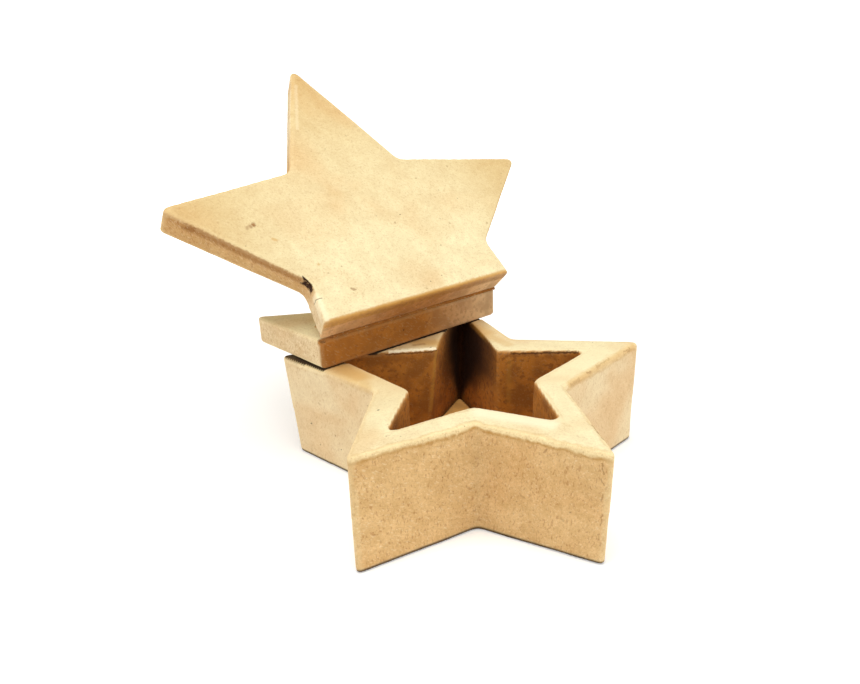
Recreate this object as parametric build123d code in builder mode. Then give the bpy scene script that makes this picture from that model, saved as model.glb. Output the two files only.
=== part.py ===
from build123d import *
import os
from math import atan2, cos, radians, sin, tan

os.makedirs("parts", exist_ok=True)

# A star box in papier-mache: a thick-walled five-pointed box with a floor board, and a
# star lid cut across two of its points. The smaller part of the lid rests on the rim
# over the two back points of the box. The flap with the other three points is hinged to
# it by a strip of paper, and stands thrown back past upright, leaning over that part.
# Millimetres, +Z up, origin at the centre of the box on the surface that it stands on.

# Star outline, shared by the box, its cavity, the floor and the lid
points = 5
notch_ratio = 0.495
box_reach = 59.3

# Box
box_height = 35.3
wall = 8.9
wall_draft = 0.5
floor_thickness = 5.8
floor_groove = 0.7
tip_round = 1.2
notch_round = 3.0
edge_round = 0.9
foot_bevel = 0.4

# Lid
overhang = 5.1
lid_thickness = 9.4
lid_shift_x = -0.8
lid_shift_y = 5.0
lid_tip_round = 1.6
lid_notch_round = 4.0
cut_corner_round = 0.8
cut_from_centre = 25.4
cut_direction = 36
cut_gap = 0.3
strip_side_bevel = 0.3
rim_clearance = 0.3
flap_lean = 41.4

# Strip of paper glued over the cut, on the side that is the lid's top when it is shut
strip_thickness = 0.4
strip_width = 11.0
strip_inset = 2.0
strip_fold_gap = 0.1

# All edges of a star touch one circle round its centre, so a larger or smaller star
# about that centre keeps the same distance to it all round.
step = radians(180 / points)
tip_half_angle = atan2(notch_ratio * sin(step), 1 - notch_ratio * cos(step))
edge_circle = sin(tip_half_angle)
foot_reach = box_reach - box_height * tan(radians(wall_draft)) / edge_circle
cavity_reach = box_reach - wall / edge_circle
lid_reach = box_reach + overhang / edge_circle
box_turn = 90

# The cut runs across two points of the lid, and its ends lie on their outer edges.
point_lean = step - tip_half_angle
cut_half_length = (edge_circle * lid_reach + cut_from_centre * sin(point_lean)) / cos(point_lean)


def star(reach, turn, tip, notch, centre=(0, 0)):
    """A star face with one tip at turn degrees, and with its tips and notches rounded."""
    corners = []
    for i in range(2 * points):
        radius = reach if i % 2 == 0 else reach * notch_ratio
        angle = radians(turn) + i * step
        corners.append((centre[0] + radius * cos(angle), centre[1] + radius * sin(angle)))
    with BuildSketch(mode=Mode.PRIVATE) as outline:
        with BuildLine():
            Polyline(*corners, close=True)
        make_face()
        from_centre = outline.vertices().sort_by_distance((*centre, 0))
        fillet(from_centre[:points], notch)
        from_centre = outline.vertices().sort_by_distance((*centre, 0))
        fillet(from_centre[-points:], tip)
    return outline.sketch


def lid_outline(turn, centre_y):
    """The part of the lid's star beyond the cut, which runs along X beside the origin."""
    with BuildSketch(mode=Mode.PRIVATE) as outline:
        add(star(lid_reach, turn, lid_tip_round, lid_notch_round, (0, centre_y)))
        with Locations((0, cut_gap / 2)):
            Rectangle(4 * lid_reach, 4 * lid_reach, align=(Align.CENTER, Align.MAX), mode=Mode.SUBTRACT)
        fillet(outline.vertices().group_by(Axis.Y)[0], cut_corner_round)
    return outline.sketch


def strip_leaf():
    """One leaf of the paper strip, from the cut outwards."""
    with BuildSketch(mode=Mode.PRIVATE) as leaf:
        with Locations((0, strip_fold_gap / 2)):
            Rectangle(2 * (cut_half_length - strip_inset), strip_width, align=(Align.CENTER, Align.MIN))
    return leaf.sketch


# The wall of the box leans out a little towards its rim.
with BuildPart() as box_wall:
    with BuildSketch():
        add(star(foot_reach, box_turn, tip_round, notch_round))
    extrude(amount=box_height, taper=-wall_draft)
    with BuildSketch():
        add(star(cavity_reach, box_turn, tip_round, notch_round))
    extrude(amount=box_height, mode=Mode.SUBTRACT)
    fillet(box_wall.edges().group_by(Axis.Z)[-1], edge_round)
    foot = box_wall.faces().sort_by(Axis.Z)[0]
    chamfer(foot.outer_wire().edges(), foot_bevel)

# The floor board fills the foot of the cavity, with a groove left round its upper edge.
with BuildPart() as floor_board:
    with BuildSketch():
        add(star(cavity_reach, box_turn, tip_round, notch_round))
    extrude(amount=floor_thickness)
    chamfer(floor_board.edges().group_by(Axis.Z)[-1], floor_groove)

# Both lid planes have X along the cut and Y away from it, into their own part. The hinge
# line runs in the outer face of the strip, so the two leaves lie flat on each other when
# the flap is folded right back, and in one plane when the lid is shut.
along_cut = Vector(cos(radians(cut_direction)), sin(radians(cut_direction)), 0)
up = Vector(0, 0, 1)
back = up.cross(along_cut)
cut_foot = Vector(lid_shift_x, lid_shift_y, box_height) + back * cut_from_centre
hinge_point = cut_foot + up * (lid_thickness + strip_thickness)
flap_normal = up * cos(radians(flap_lean)) - back * sin(radians(flap_lean))
rest_plane = Plane(origin=cut_foot, x_dir=along_cut, z_dir=up)
strip_plane = rest_plane.offset(lid_thickness)
flap_plane = Plane(origin=hinge_point, x_dir=along_cut, z_dir=flap_normal)
flap_axis = Axis(hinge_point, flap_normal)

# The part that rests on the rim has the two points that the cut takes off the star.
with BuildPart() as lid_rest:
    with BuildSketch(rest_plane):
        add(lid_outline(-90, -cut_from_centre))
    extrude(amount=lid_thickness)
    chamfer(lid_rest.edges().group_by(Axis.Z)[-1], strip_side_bevel)
    fillet(lid_rest.edges().group_by(Axis.Z)[0], edge_round)

# The flap is a little thinner, so that it clears the rim when the lid is shut.
with BuildPart() as lid_flap:
    with BuildSketch(flap_plane.offset(strip_thickness)):
        add(lid_outline(90, cut_from_centre))
    extrude(amount=lid_thickness - rim_clearance)
    fillet(lid_flap.edges().group_by(flap_axis)[-1], edge_round)
    chamfer(lid_flap.edges().group_by(flap_axis)[0], strip_side_bevel)

# The strip is one piece of paper, kept here as a leaf on each side of its fold.
with BuildPart() as strip_rest_leaf:
    with BuildSketch(strip_plane):
        add(strip_leaf())
    extrude(amount=strip_thickness)

with BuildPart() as strip_flap_leaf:
    with BuildSketch(flap_plane):
        add(strip_leaf())
    extrude(amount=strip_thickness)

box_wall.part.label = "box_wall"
floor_board.part.label = "floor_board"
lid_rest.part.label = "lid_rest"
lid_flap.part.label = "lid_flap"
strip_rest_leaf.part.label = "strip_rest_leaf"
strip_flap_leaf.part.label = "strip_flap_leaf"

export_step(box_wall.part, "parts/box_wall.step")
export_step(floor_board.part, "parts/floor_board.step")
export_step(lid_rest.part, "parts/lid_rest.step")
export_step(lid_flap.part, "parts/lid_flap.step")
export_step(strip_rest_leaf.part, "parts/strip_rest_leaf.step")
export_step(strip_flap_leaf.part, "parts/strip_flap_leaf.step")

print("hinge point", hinge_point, "along", along_cut, "cut half length", round(cut_half_length, 2))
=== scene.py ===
import math

import bmesh
import bpy
import numpy as np
from mathutils import Matrix, Vector


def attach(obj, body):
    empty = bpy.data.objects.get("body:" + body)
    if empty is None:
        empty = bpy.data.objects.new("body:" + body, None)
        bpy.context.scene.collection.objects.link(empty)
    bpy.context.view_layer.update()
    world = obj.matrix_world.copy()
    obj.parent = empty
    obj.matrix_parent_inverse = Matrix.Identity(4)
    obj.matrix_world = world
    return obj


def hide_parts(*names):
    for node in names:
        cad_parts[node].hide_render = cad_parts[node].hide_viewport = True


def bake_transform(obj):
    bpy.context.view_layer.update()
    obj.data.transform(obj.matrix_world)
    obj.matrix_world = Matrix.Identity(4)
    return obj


# A star box in papier-mache. Its walls, floor board and lid are built here as boards with
# soft, slightly uneven edges, in metres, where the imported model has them.
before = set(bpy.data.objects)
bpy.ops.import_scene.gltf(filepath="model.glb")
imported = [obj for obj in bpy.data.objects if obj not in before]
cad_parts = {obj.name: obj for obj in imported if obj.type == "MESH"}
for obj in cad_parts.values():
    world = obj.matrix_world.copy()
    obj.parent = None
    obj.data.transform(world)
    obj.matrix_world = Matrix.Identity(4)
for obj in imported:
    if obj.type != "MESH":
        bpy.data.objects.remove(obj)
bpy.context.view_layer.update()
mm = 0.001
print("frame loaded")


def paint(hexCode):  # sRGB hex to a linear colour
    channels = [int(hexCode[i:i + 2], 16) / 255 for i in (1, 3, 5)]
    linear = [c / 12.92 if c <= 0.04045 else ((c + 0.055) / 1.055) ** 2.4 for c in channels]
    return (*linear, 1.0)


def addNode(tree, kind, inputs=(), **settings):  # a node given as an input stands for its first output
    node = tree.nodes.new(kind)
    for key, value in settings.items():
        setattr(node, key, value)
    for key, value in inputs.items() if isinstance(inputs, dict) else enumerate(inputs):
        for source in value if isinstance(value, list) else [value]:
            if isinstance(source, bpy.types.Node):
                source = source.outputs[0]
            if isinstance(source, bpy.types.NodeSocket):
                tree.links.new(source, node.inputs[key])
            else:
                node.inputs[key].default_value = source
    return node


def emptyTree(owner):  # of a material or the world
    owner.use_nodes = True
    owner.node_tree.nodes.clear()
    return owner.node_tree


def addObject(name, data):
    made = bpy.data.objects.new(name, data)
    bpy.context.scene.collection.objects.link(made)
    return made


# Camera, at the place and angle that the photo was taken from

photoCamera = {
    "place": (-14.3, -214.8, 141.2),  # mm
    "azimuth": 0.823,  # degrees to the right of straight back
    "dip": 23.943,  # degrees below the horizon
    "roll": -1.335,
    "lens": 33.52,
    "sensor": 36.0,
}


def placeCamera(fit):
    azimuth, dip, roll = (math.radians(fit[key]) for key in ("azimuth", "dip", "roll"))
    ahead = Vector((math.sin(azimuth) * math.cos(dip), math.cos(azimuth) * math.cos(dip), -math.sin(dip)))
    levelRight = ahead.cross(Vector((0, 0, 1))).normalized()
    levelUp = levelRight.cross(ahead)
    right = levelRight * math.cos(roll) + levelUp * math.sin(roll)
    up = levelUp * math.cos(roll) - levelRight * math.sin(roll)
    data = bpy.data.cameras.new("photoCamera")
    data.lens = fit["lens"]
    data.sensor_width = fit["sensor"]
    data.clip_start = 0.01
    camera = addObject("photoCamera", data)
    turn = Matrix((right, up, -ahead)).transposed()
    camera.matrix_world = Matrix.Translation(Vector(fit["place"]) * mm) @ turn.to_4x4()
    bpy.context.scene.camera = camera


placeCamera(photoCamera)
print("camera placed")

# Sizes that the boards share, in mm and degrees. All edges of a star touch one circle round its
# centre, so a star that is scaled about its centre has moved its edges by one distance.

star = {
    "points": 5,
    "notchRatio": 0.495,
    "tipRound": 1.2,
    "notchRound": 3.0,
    "boxReach": 59.3,
    "boxHeight": 35.3,
    "wall": 8.9,
    "wallDraft": 0.5,
    "floorHeight": 5.8,
    "overhang": 5.1,
    "lidTipRound": 1.6,
    "lidNotchRound": 4.0,
    "lidThickness": 9.4,
    "lidShift": (-0.8, 5.0),
    "cutFromCentre": 25.4,
    "cutDirection": 36.0,
    "cutGap": 0.3,
    "rimClearance": 0.3,
    "flapLean": 41.4,
    "stripThickness": 0.4,
    "stripWidth": 11.0,
    "roundSteps": 5,  # of a board's rounded edges
    "cornerSteps": 6,  # of the star's rounded corners
    "mergeWithin": 0.01,
    "cutAbove": 0.05,  # by which the star that cuts out the cavity stands over and under the wall
    "cutBelow": 5.0,
    "blockSize": 400.0,
}

step = math.pi / star["points"]
tipHalfAngle = math.atan2(star["notchRatio"] * math.sin(step), 1 - star["notchRatio"] * math.cos(step))
edgeCircle = math.sin(tipHalfAngle)
footReach = star["boxReach"] - star["boxHeight"] * math.tan(math.radians(star["wallDraft"])) / edgeCircle
cavityReach = star["boxReach"] - star["wall"] / edgeCircle
lidReach = star["boxReach"] + star["overhang"] / edgeCircle
pointLean = step - tipHalfAngle
cutHalf = (edgeCircle * lidReach + star["cutFromCentre"] * math.sin(pointLean)) / math.cos(pointLean)

cutTurn = math.radians(star["cutDirection"])
alongCut = Vector((math.cos(cutTurn), math.sin(cutTurn), 0))
zUp = Vector((0, 0, 1))
backward = zUp.cross(alongCut)
cutFoot = Vector((*star["lidShift"], star["boxHeight"])) + backward * star["cutFromCentre"]
hinge = cutFoot + zUp * (star["lidThickness"] + star["stripThickness"])
lean = math.radians(star["flapLean"])
flapNormal = zUp * math.cos(lean) - backward * math.sin(lean)
flapAway = flapNormal.cross(alongCut)


def newTree(name, lengths, others=()):
    tree = bpy.data.node_groups.new(name, "GeometryNodeTree")
    for label, kind in (*others, *((label, "NodeSocketFloat") for label in lengths)):
        tree.interface.new_socket(name=label, in_out="INPUT", socket_type=kind)
    tree.interface.new_socket(name="Geometry", in_out="OUTPUT", socket_type="NodeSocketGeometry")
    source = addNode(tree, "NodeGroupInput")
    target = addNode(tree, "NodeGroupOutput")
    return tree, source.outputs, target.inputs


# One tree makes the star blanks. A star curve with rounded tips and notches is filled and
# carried up ring by ring: the foot's round, the straight wall and the upper edge's round.

def starPrismTree():
    tree, given, result = newTree("starPrism", (
        "Foot Reach", "Rim Reach", "Tip Round", "Notch Round", "Foot Level", "Height",
        "Foot Round", "Edge Round", "Edge Inset", "Turn"))
    notchReach = addNode(tree, "ShaderNodeMath", (
        given["Foot Reach"], star["notchRatio"],
    ), operation="MULTIPLY")
    outline = addNode(tree, "GeometryNodeCurveStar", {
        "Points": star["points"], "Inner Radius": notchReach, "Outer Radius": given["Foot Reach"],
    })
    radius = addNode(tree, "GeometryNodeSwitch", {
        "Switch": outline.outputs["Outer Points"], "False": given["Notch Round"],
        "True": given["Tip Round"],
    }, input_type="FLOAT")
    rounded = addNode(tree, "GeometryNodeFilletCurve", {
        "Curve": outline, "Count": star["cornerSteps"], "Radius": radius, "Limit Radius": True,
    }, mode="POLY")
    face = addNode(tree, "GeometryNodeFillCurve", {"Curve": rounded}, mode="NGONS")
    place = addNode(tree, "GeometryNodeInputPosition")
    rings = []
    quarter = [math.pi / 2 * i / star["roundSteps"] for i in range(star["roundSteps"] + 1)]
    for angle in quarter:
        outward, upward = math.sin(angle) - 1, 1 - math.cos(angle)
        rings.append(("Foot Reach", "Foot Round", outward, "Foot Level", "Foot Round", upward))
    for angle in quarter:
        outward, upward = math.cos(angle) - 1, math.sin(angle) - 1
        rings.append(("Rim Reach", "Edge Inset", outward, "Height", "Edge Round", upward))
    grown, chosen, lastReach = face, {}, given["Foot Reach"]
    for i, (reachFrom, insetBy, outward, levelFrom, roundBy, upward) in enumerate(rings):
        if i:
            grown = addNode(tree, "GeometryNodeExtrudeMesh", {
                "Mesh": grown, "Offset Scale": 0.0, "Individual": False, **chosen,
            }, mode="FACES")
            chosen = {"Selection": grown.outputs["Top"]}
        reach = addNode(tree, "ShaderNodeMath", (
            given[insetBy], outward / edgeCircle, given[reachFrom],
        ), operation="MULTIPLY_ADD")
        level = addNode(tree, "ShaderNodeMath", (
            given[roundBy], upward, given[levelFrom],
        ), operation="MULTIPLY_ADD")
        ratio = addNode(tree, "ShaderNodeMath", (reach, lastReach), operation="DIVIDE")
        widen = addNode(tree, "ShaderNodeCombineXYZ", (ratio, ratio))
        lift = addNode(tree, "ShaderNodeCombineXYZ", {2: level})
        target = addNode(tree, "ShaderNodeVectorMath", (place, widen, lift), operation="MULTIPLY_ADD")
        grown = addNode(tree, "GeometryNodeSetPosition", {"Geometry": grown, "Position": target, **chosen})
        if i == 0:
            underside = addNode(tree, "GeometryNodeFlipFaces", {"Mesh": grown})
        lastReach = reach
    both = addNode(tree, "GeometryNodeJoinGeometry", {0: [grown, underside]})
    within = star["mergeWithin"] * mm
    closed = addNode(tree, "GeometryNodeMergeByDistance", {"Geometry": both, "Distance": within})
    turnAxis = addNode(tree, "ShaderNodeCombineXYZ", {2: given["Turn"]})
    turned = addNode(tree, "GeometryNodeTransform", {"Geometry": closed, "Rotation": turnAxis})
    tree.links.new(turned.outputs[0], result[0])
    return tree


# A board is a star blank, whole or with a star or a straight side cut off it.

def boardTree(name, prism, cutWith):
    tree, given, result = newTree(name, (
        "Foot Reach", "Rim Reach", "Cut Reach", "Tip Round", "Notch Round", "Height", "Foot Round",
        "Edge Round", "Inner Round", "Turn", "Centre Y", "Cut Gap"))
    shared = {label: given[label] for label in ("Tip Round", "Notch Round", "Turn")}
    blank = addNode(tree, "GeometryNodeGroup", {
        "Foot Reach": given["Foot Reach"], "Rim Reach": given["Rim Reach"], "Foot Level": 0.0,
        "Height": given["Height"], "Foot Round": given["Foot Round"], "Edge Round": given["Edge Round"],
        "Edge Inset": given["Edge Round"], **shared,
    }, node_tree=prism)
    offset = addNode(tree, "ShaderNodeCombineXYZ", {1: given["Centre Y"]})
    made = addNode(tree, "GeometryNodeTransform", {"Geometry": blank, "Translation": offset})
    if cutWith == "star":
        flare = addNode(tree, "ShaderNodeMath", (given["Inner Round"], -1.0), operation="MULTIPLY")
        above = addNode(tree, "ShaderNodeMath", (given["Height"], star["cutAbove"] * mm), operation="ADD")
        tool = addNode(tree, "GeometryNodeGroup", {
            "Foot Reach": given["Cut Reach"], "Rim Reach": given["Cut Reach"],
            "Foot Level": -star["cutBelow"] * mm,
            "Height": above, "Foot Round": 0.0, "Edge Round": given["Inner Round"], "Edge Inset": flare,
            **shared,
        }, node_tree=prism)
    if cutWith == "line":
        big = star["blockSize"] * mm
        block = addNode(tree, "GeometryNodeMeshCube", {"Size": (big, big, big)})
        edge = addNode(tree, "ShaderNodeMath", (given["Cut Gap"], 0.5, -big / 2), operation="MULTIPLY_ADD")
        aside = addNode(tree, "ShaderNodeCombineXYZ", {1: edge})
        tool = addNode(tree, "GeometryNodeTransform", {"Geometry": block, "Translation": aside})
    if cutWith:
        made = addNode(tree, "GeometryNodeMeshBoolean", {
            "Mesh 1": made, "Mesh 2": tool,
        }, operation="DIFFERENCE", solver="EXACT")
    tree.links.new(made.outputs[0], result[0])
    return tree


# The pulp settles: edges go soft, faces wave a little, and each point learns how far it
# stands out from what lies around it, kept as "worn", which the shader turns into wear and
# painted highlight on edges and into darker hollows. Beyond the crisp level, on the side
# where the lid's two parts meet, the edges stay sharp.

settling = {
    "noiseDetail": 2.0,
    "wornSteps": 8,  # how far a point looks around itself
}


def pulpTree():
    tree, given, result = newTree("settledPulp", (
        "Soft Level", "Crisp Level", "Wave Length", "Wave Height", "Lump Size", "Lump Height", "Seed",
    ), (("Geometry", "NodeSocketGeometry"), ("Soften", "NodeSocketInt")))
    place = addNode(tree, "GeometryNodeInputPosition")
    level = addNode(tree, "ShaderNodeSeparateXYZ", (place,))
    weight = addNode(tree, "ShaderNodeMapRange", (
        level.outputs[2], given["Soft Level"], given["Crisp Level"], 1.0, 0.0,
    ))
    softer = addNode(tree, "GeometryNodeBlurAttribute", {
        "Value": place, "Iterations": given["Soften"], "Weight": weight,
    }, data_type="FLOAT_VECTOR")
    soft = addNode(tree, "GeometryNodeSetPosition", {"Geometry": given["Geometry"], "Position": softer})
    normal = addNode(tree, "GeometryNodeInputNormal")
    seeded = addNode(tree, "ShaderNodeCombineXYZ", (given["Seed"], given["Seed"], given["Seed"]))
    moved = addNode(tree, "ShaderNodeVectorMath", (place, seeded), operation="ADD")
    heights = []
    for size, height in (("Wave Length", "Wave Height"), ("Lump Size", "Lump Height")):
        perMetre = addNode(tree, "ShaderNodeMath", (1.0, given[size]), operation="DIVIDE")
        noise = addNode(tree, "ShaderNodeTexNoise", {
            "Vector": moved, "Scale": perMetre, "Detail": settling["noiseDetail"],
        })
        centred = addNode(tree, "ShaderNodeMath", (noise, 2.0, -1.0), operation="MULTIPLY_ADD")
        heights.append(addNode(tree, "ShaderNodeMath", (centred, given[height]), operation="MULTIPLY"))
    total = addNode(tree, "ShaderNodeMath", (heights[0], heights[1]), operation="ADD")
    push = addNode(tree, "ShaderNodeVectorMath", {0: normal, "Scale": total}, operation="SCALE")
    waved = addNode(tree, "GeometryNodeSetPosition", {"Geometry": soft, "Offset": push})
    around = addNode(tree, "GeometryNodeBlurAttribute", {
        "Value": place, "Iterations": settling["wornSteps"],
    }, data_type="FLOAT_VECTOR")
    outward = addNode(tree, "ShaderNodeVectorMath", (place, around), operation="SUBTRACT")
    standing = addNode(tree, "ShaderNodeVectorMath", (outward, normal), operation="DOT_PRODUCT")
    inMm = addNode(tree, "ShaderNodeMath", (standing.outputs["Value"], mm), operation="DIVIDE")
    kept = addNode(tree, "GeometryNodeStoreNamedAttribute", {
        "Geometry": waved, "Name": "worn", "Value": inMm,
    }, data_type="FLOAT", domain="POINT")
    shaded = addNode(tree, "GeometryNodeSetShadeSmooth", {"Geometry": kept})
    tree.links.new(shaded.outputs[0], result[0])
    return tree


def setInputs(modifier, values):
    for item in modifier.node_group.interface.items_tree:
        if item.in_out == "INPUT" and item.name in values:
            modifier[item.identifier] = values[item.name]


def asMesh(holder, name):  # the modifiers' result as a plain object of its own
    graph = bpy.context.evaluated_depsgraph_get()
    mesh = bpy.data.meshes.new_from_object(holder.evaluated_get(graph))
    mesh.name = name
    bpy.data.objects.remove(holder)
    return addObject(name, mesh)


def getPoints(mesh, what="vertices", key="co"):
    items = getattr(mesh, what)
    values = np.zeros(len(items) * 3)
    items.foreach_get(key, values)
    return values.reshape(-1, 3)


def setPoints(mesh, values):
    mesh.vertices.foreach_set("co", values.astype(np.float32).ravel())
    mesh.update()


def setFields(mesh, fields):
    for name, values in fields.items():
        field = mesh.attributes.new(name, "FLOAT", "POINT")
        field.data.foreach_set("value", np.broadcast_to(values, len(mesh.vertices)).astype(np.float32))


def pressBoard(name, tree, sizes, finish):
    holder = addObject(name + "Blank", bpy.data.meshes.new(name + "Blank"))
    shape = holder.modifiers.new("shape", "NODES")
    shape.node_group = tree
    setInputs(shape, {label: value * mm for label, value in sizes.items()})
    setInputs(shape, {"Turn": math.radians(finish["turn"])})
    grid = holder.modifiers.new("grid", "REMESH")
    grid.mode = "VOXEL"
    grid.voxel_size = finish["voxel"] * mm
    settle = holder.modifiers.new("settle", "NODES")
    settle.node_group = settledPulp
    setInputs(settle, {
        "Soften": finish["soften"],
        "Soft Level": finish["softLevel"] * mm,
        "Crisp Level": finish["crispLevel"] * mm,
        "Wave Length": finish["wave"][0] * mm,
        "Wave Height": finish["wave"][1] * mm,
        "Lump Size": finish["lump"][0] * mm,
        "Lump Height": finish["lump"][1] * mm,
        "Seed": finish["seed"],
    })
    return asMesh(holder, name)


# Hand-made stars aren't regular. Each corner is pushed aside by some mm, and the board
# between two corners and the centre goes with them, so straight edges stay straight.

def starCorners(reach, turn, centre=(0, 0)):
    corners = []
    for i in range(2 * star["points"]):
        angle = math.radians(turn) + i * step
        radius = reach * (star["notchRatio"] if i % 2 else 1)
        corners.append(np.array(centre) + radius * np.array([math.cos(angle), math.sin(angle)]))
    return corners


def sectorShares(flat, centre, corners):  # which two corners a point lies between, and its share of each
    rel = flat - np.array(centre)
    around = np.arctan2(rel[:, 1], rel[:, 0])
    first = np.zeros(len(flat), int)
    share = np.zeros((len(flat), 2))
    for i, here in enumerate(corners):
        a, b = here - centre, corners[(i + 1) % len(corners)] - centre
        angleA, angleB = math.atan2(a[1], a[0]), math.atan2(b[1], b[0])
        inside = (around - angleA) % (2 * math.pi) < (angleB - angleA) % (2 * math.pi)
        first[inside] = i
        share[inside] = np.linalg.solve(np.stack([a, b], 1), rel[inside].T).T
    return first, share


def fromStarEdge(flat, centre, turn, reach):  # mm in from the edges of a star
    share = sectorShares(flat, centre, starCorners(reach, turn, centre))[1]
    return (1 - share.sum(1)) * edgeCircle * reach


def cornerPush(first, share, shifts):
    shifts = np.array(shifts, float)
    return shifts[first] * share[:, :1] + shifts[(first + 1) % len(shifts)] * share[:, 1:]


def intoFrame(points, origin, xAxis, yAxis, zAxis):
    turn = np.array([xAxis, yAxis, zAxis])
    return points @ turn + np.array(origin) * mm


def smoothStep(low, high, values):
    t = np.clip((values - low) / (high - low), 0, 1)
    return t * t * (3 - 2 * t)


smooth = {"interpolation_type": "SMOOTHSTEP"}  # a Map Range takes value, from low and high, to low and high
flatFrom = (0.5, 0.9)  # how upright a normal is where a face begins to count as flat, and where it does
settledPulp = pulpTree()
starPrism = starPrismTree()
ringTree = boardTree("starRing", starPrism, "star")
plateTree = boardTree("starPlate", starPrism, None)
lidTree = boardTree("cutStar", starPrism, "line")


# Box wall. Corners are named by their place seen from above, notches by v. Each has the
# push at the rim and at the foot, and that of the cavity's corner beside it, at the foot
# too where it differs.

boxWall = {
    "turn": 18,  # degrees, of its first point
    "voxel": 0.6,
    "soften": 2,
    "softLevel": 1000,
    "crispLevel": 2000,
    "wave": (16.0, 0.20),
    "lump": (3.0, 0.06),
    "seed": 0.31,
    "footRound": 0.4,
    "edgeRound": 1.1,
    "innerRound": 0.6,
    "corners": {
        "right": ((0.89, 1.64), (1.58, 1.1), (0.5, 1.66)),
        "vBackRight": ((-1.15, 1.48), (-1.0, 1.0), (-1.5, -0.26)),
        "back": ((0, 0), (0, 0), (1.0, 8.0), (-0.5, 3.4)),
        "vBackLeft": ((-1.6, 3.0), (-0.5, 1.0), (2.88, 2.62), (-1.0, 2.0)),
        "left": ((-2.9, -0.4), (-0.24, -0.77), (-4.4, 4.0)),
        "vLeft": ((0, 0), (0, 1.9), (0.85, -3.8)),
        "frontLeft": ((1.2, 1.93), (1.2, 0.16), (-0.49, -1.1)),
        "vFront": ((-0.05, -0.72), (0.7, 0.35), (0.11, -1.1)),
        "frontRight": ((-1.2, -0.42), (-0.7, 0.17), (-0.45, 2.0)),
        "vRight": ((-0.74, -1.17), (-0.5, -0.8), (0.23, 0.14)),
    },
    # how pale each outer wall is, from "right" on, partly the paper's own tone and partly painted light from
    # the sides, and how strong its folded edge
    "paleWalls": [0.4, 0.5, 0.3, 0.6, 1.0, 0.5, 0.0, 0.05, 0.45, 1.0],
    "folds": [0.5, 0.5, 0.4, 0.4, 0.15, 0.5, 0.9, 0.9, 0.7, 0.4],
    "paleRim": [0.9, 0.95, 0.3, 0.5, 0.1, 0.7, 1.0, 1.0, 1.0, 1.0],  # how pale the rim is at each corner, partly painted light on the top
    "bulges": {1: (0.7, 0.3), 2: (-1.6, 0.6)},  # of the cavity's edge between two corners, at the rim
    "sag": 0.45,  # mm by which the rim's edges lie below the lid that rests on it
    "sagFrom": (-0.4, 0.1),  # mm behind that lid's front
    "raised": (2, 3),  # mm in from all edges from where the rim carries the lid
    # painted shadow of the resting lid: the rim is darkened under its front edge
    "lidShadow": (0.5, 0.4),  # mm behind that front and below the rim up to which all is dark
    # mm from the cavity's back corner that get painted shade for the lid's shadow, at the floor and more
    # towards the rim
    "dark": {1: (1.5, 26.0), 2: (1.5, 12.0)},
    "darkRise": (0.15, 0.85),  # shares of the height between which it grows
    "darkEdge": (1.3, 0.3),  # parts of that distance between which it fades
    "insideFrom": (1.5, 0.4),  # mm before the cavity's wall between which its colour begins
    # dirt and painted contact shadow along the foot
    "footLine": (0.8, 1.4),  # mm, the upper edge of the dark line at the foot
    "fewerChips": {"flat": 0.55, "inside": 0.7, "pale": 0.5},  # share of the fibre chips that isn't seen
    "restTop": 2,  # mm below the rim down to which the sag reaches
}


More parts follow.
